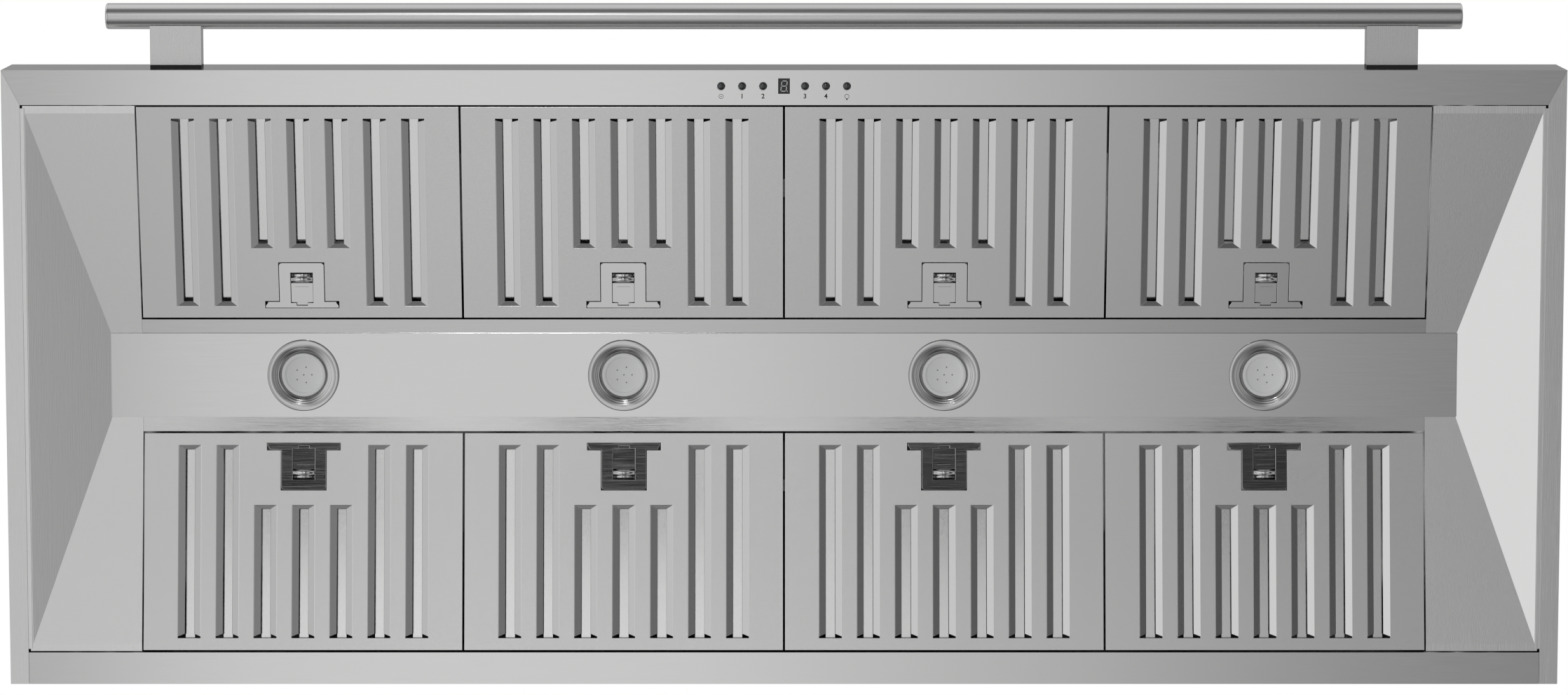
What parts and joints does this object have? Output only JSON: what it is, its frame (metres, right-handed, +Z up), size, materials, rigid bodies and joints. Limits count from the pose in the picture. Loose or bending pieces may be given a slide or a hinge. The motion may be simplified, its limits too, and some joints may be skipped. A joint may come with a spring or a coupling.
{
  "type": "island range hood",
  "caption": "Ceiling-hung stainless range hood with pull-latch baffle filters, twist-ring lights, push buttons, a front rail and a telescoping chimney.",
  "frame": {"origin": "centre of the ceiling plate's top face", "axes": "+Z up, -Y towards the side with the rail and the buttons, +X to the right of a person who faces that side"},
  "size_m": [1.524, 0.6687, 0.9019],
  "materials": {
    "brushed_steel": "fine brushed stainless steel",
    "filter_steel": "satin stainless sheet",
    "latch_chrome": "bright polished steel",
    "chrome": "polished",
    "ring_steel": "turned and lacquered steel",
    "lens": "frosted",
    "display": "dark glass",
    "rubber": "matt black",
    "plastic": "moulded",
    "board": "green solder mask",
    "zinc": "zinc plated steel",
    "aluminium": "matt",
    "motor": "black enamel"
  },
  "bodies": {
    "root": {"ceiling_plate": "zinc", "upper_frame": "zinc", "upper_chimney": "brushed_steel"},
    "hood": {"canopy_shell": "brushed_steel", "front_apron": "brushed_steel", "rear_apron": "brushed_steel", "left_apron": "brushed_steel", "right_apron": "brushed_steel", "left_liner": "brushed_steel", "right_liner": "brushed_steel", "front_filter_ledge": "brushed_steel", "rear_filter_ledge": "brushed_steel", "light_panel": "brushed_steel", "light_housings": "zinc", "led_modules": "aluminium", "light_lenses": "lens", "handrail_tube": "brushed_steel", "handrail_posts": "brushed_steel", "handrail_gaskets": "rubber", "control_housing": "plastic", "control_board": "board", "display_window": "display", "blower_housings": "zinc", "blower_motors": "motor", "blower_plate": "zinc", "plenum_walls": "zinc", "plenum_top": "zinc", "duct_collar": "zinc", "flap_rests": "zinc", "lower_chimney": "brushed_steel", "lower_frame": "zinc", "junction_box": "zinc", "screws": "zinc"},
    "filter_front_1": {"filter_front_1": "filter_steel"},
    "filter_front_2": {"filter_front_2": "filter_steel"},
    "filter_front_3": {"filter_front_3": "filter_steel"},
    "filter_front_4": {"filter_front_4": "filter_steel"},
    "filter_rear_1": {"filter_rear_1": "filter_steel"},
    "filter_rear_2": {"filter_rear_2": "filter_steel"},
    "filter_rear_3": {"filter_rear_3": "filter_steel"},
    "filter_rear_4": {"filter_rear_4": "filter_steel"},
    "latch_front_1": {"latch_front_1": "latch_chrome"},
    "latch_front_2": {"latch_front_2": "latch_chrome"},
    "latch_front_3": {"latch_front_3": "latch_chrome"},
    "latch_front_4": {"latch_front_4": "latch_chrome"},
    "latch_rear_1": {"latch_rear_1": "latch_chrome"},
    "latch_rear_2": {"latch_rear_2": "latch_chrome"},
    "latch_rear_3": {"latch_rear_3": "latch_chrome"},
    "latch_rear_4": {"latch_rear_4": "latch_chrome"},
    "light_ring_1": {"light_ring_1": "ring_steel"},
    "light_ring_2": {"light_ring_2": "ring_steel"},
    "light_ring_3": {"light_ring_3": "ring_steel"},
    "light_ring_4": {"light_ring_4": "ring_steel"},
    "button_power": {"button_power": "chrome"},
    "button_speed_1": {"button_speed_1": "chrome"},
    "button_speed_2": {"button_speed_2": "chrome"},
    "button_speed_3": {"button_speed_3": "chrome"},
    "button_speed_4": {"button_speed_4": "chrome"},
    "button_light": {"button_light": "chrome"},
    "impeller_left": {"impeller_left": "aluminium"},
    "impeller_right": {"impeller_right": "aluminium"},
    "damper_flap_left": {"damper_flap_left": "aluminium"},
    "damper_flap_right": {"damper_flap_right": "aluminium"}
  },
  "joints": [
    {"name": "height_adjust", "type": "slide", "parent": "root", "child": "hood", "axis": [0, 0, 1], "range_m": [-0.2, 0]},
    {"name": "filter_front_1_swing", "type": "hinge", "parent": "hood", "child": "filter_front_1", "pos_m": [-0.474, -0.268, -0.8985], "axis": [-1, 0, 0], "range_deg": [0, 75]},
    {"name": "latch_front_1_pull", "type": "slide", "parent": "filter_front_1", "child": "latch_front_1", "axis": [0, -0.9869, -0.1616], "range_m": [0, 0.004], "stiffness_N_per_m": 400, "springref_m": -0.002},
    {"name": "filter_front_2_swing", "type": "hinge", "parent": "hood", "child": "filter_front_2", "pos_m": [-0.158, -0.268, -0.8985], "axis": [-1, 0, 0], "range_deg": [0, 75]},
    {"name": "latch_front_2_pull", "type": "slide", "parent": "filter_front_2", "child": "latch_front_2", "axis": [0, -0.9869, -0.1616], "range_m": [0, 0.004], "stiffness_N_per_m": 400, "springref_m": -0.002},
    {"name": "filter_front_3_swing", "type": "hinge", "parent": "hood", "child": "filter_front_3", "pos_m": [0.158, -0.268, -0.8985], "axis": [-1, 0, 0], "range_deg": [0, 75]},
    {"name": "latch_front_3_pull", "type": "slide", "parent": "filter_front_3", "child": "latch_front_3", "axis": [0, -0.9869, -0.1616], "range_m": [0, 0.004], "stiffness_N_per_m": 400, "springref_m": -0.002},
    {"name": "filter_front_4_swing", "type": "hinge", "parent": "hood", "child": "filter_front_4", "pos_m": [0.474, -0.268, -0.8985], "axis": [-1, 0, 0], "range_deg": [0, 75]},
    {"name": "latch_front_4_pull", "type": "slide", "parent": "filter_front_4", "child": "latch_front_4", "axis": [0, -0.9869, -0.1616], "range_m": [0, 0.004], "stiffness_N_per_m": 400, "springref_m": -0.002},
    {"name": "filter_rear_1_swing", "type": "hinge", "parent": "hood", "child": "filter_rear_1", "pos_m": [-0.474, 0.2705, -0.8985], "axis": [1, 0, 0], "range_deg": [0, 75]},
    {"name": "latch_rear_1_pull", "type": "slide", "parent": "filter_rear_1", "child": "latch_rear_1", "axis": [0, 0.9869, -0.1616], "range_m": [0, 0.004], "stiffness_N_per_m": 400, "springref_m": -0.002},
    {"name": "filter_rear_2_swing", "type": "hinge", "parent": "hood", "child": "filter_rear_2", "pos_m": [-0.158, 0.2705, -0.8985], "axis": [1, 0, 0], "range_deg": [0, 75]},
    {"name": "latch_rear_2_pull", "type": "slide", "parent": "filter_rear_2", "child": "latch_rear_2", "axis": [0, 0.9869, -0.1616], "range_m": [0, 0.004], "stiffness_N_per_m": 400, "springref_m": -0.002},
    {"name": "filter_rear_3_swing", "type": "hinge", "parent": "hood", "child": "filter_rear_3", "pos_m": [0.158, 0.2705, -0.8985], "axis": [1, 0, 0], "range_deg": [0, 75]},
    {"name": "latch_rear_3_pull", "type": "slide", "parent": "filter_rear_3", "child": "latch_rear_3", "axis": [0, 0.9869, -0.1616], "range_m": [0, 0.004], "stiffness_N_per_m": 400, "springref_m": -0.002},
    {"name": "filter_rear_4_swing", "type": "hinge", "parent": "hood", "child": "filter_rear_4", "pos_m": [0.474, 0.2705, -0.8985], "axis": [1, 0, 0], "range_deg": [0, 75]},
    {"name": "latch_rear_4_pull", "type": "slide", "parent": "filter_rear_4", "child": "latch_rear_4", "axis": [0, 0.9869, -0.1616], "range_m": [0, 0.004], "stiffness_N_per_m": 400, "springref_m": -0.002},
    {"name": "light_ring_1_twist", "type": "hinge", "parent": "hood", "child": "light_ring_1", "pos_m": [-0.474, 0.00125, -0.8624], "axis": [0, 0, 1], "range_deg": [0, 40]},
    {"name": "light_ring_2_twist", "type": "hinge", "parent": "hood", "child": "light_ring_2", "pos_m": [-0.158, 0.00125, -0.8624], "axis": [0, 0, 1], "range_deg": [0, 40]},
    {"name": "light_ring_3_twist", "type": "hinge", "parent": "hood", "child": "light_ring_3", "pos_m": [0.158, 0.00125, -0.8624], "axis": [0, 0, 1], "range_deg": [0, 40]},
    {"name": "light_ring_4_twist", "type": "hinge", "parent": "hood", "child": "light_ring_4", "pos_m": [0.474, 0.00125, -0.8624], "axis": [0, 0, 1], "range_deg": [0, 40]},
    {"name": "button_power_press", "type": "slide", "parent": "hood", "child": "button_power", "axis": [0, 0, 1], "range_m": [0, 0.0015], "stiffness_N_per_m": 600, "springref_m": -0.0008},
    {"name": "button_speed_1_press", "type": "slide", "parent": "hood", "child": "button_speed_1", "axis": [0, 0, 1], "range_m": [0, 0.0015], "stiffness_N_per_m": 600, "springref_m": -0.0008},
    {"name": "button_speed_2_press", "type": "slide", "parent": "hood", "child": "button_speed_2", "axis": [0, 0, 1], "range_m": [0, 0.0015], "stiffness_N_per_m": 600, "springref_m": -0.0008},
    {"name": "button_speed_3_press", "type": "slide", "parent": "hood", "child": "button_speed_3", "axis": [0, 0, 1], "range_m": [0, 0.0015], "stiffness_N_per_m": 600, "springref_m": -0.0008},
    {"name": "button_speed_4_press", "type": "slide", "parent": "hood", "child": "button_speed_4", "axis": [0, 0, 1], "range_m": [0, 0.0015], "stiffness_N_per_m": 600, "springref_m": -0.0008},
    {"name": "button_light_press", "type": "slide", "parent": "hood", "child": "button_light", "axis": [0, 0, 1], "range_m": [0, 0.0015], "stiffness_N_per_m": 600, "springref_m": -0.0008},
    {"name": "impeller_left_spin", "type": "hinge", "parent": "hood", "child": "impeller_left", "pos_m": [-0.07, 0, -0.71], "axis": [1, 0, 0], "continuous": true},
    {"name": "impeller_right_spin", "type": "hinge", "parent": "hood", "child": "impeller_right", "pos_m": [0.07, 0, -0.71], "axis": [1, 0, 0], "continuous": true},
    {"name": "damper_flap_left_open", "type": "hinge", "parent": "hood", "child": "damper_flap_left", "pos_m": [-0.0015, 0, -0.51], "axis": [0, 1, 0], "range_deg": [0, 72]},
    {"name": "damper_flap_right_open", "type": "hinge", "parent": "hood", "child": "damper_flap_right", "pos_m": [0.0015, 0, -0.51], "axis": [0, -1, 0], "range_deg": [0, 72]}
  ]
}
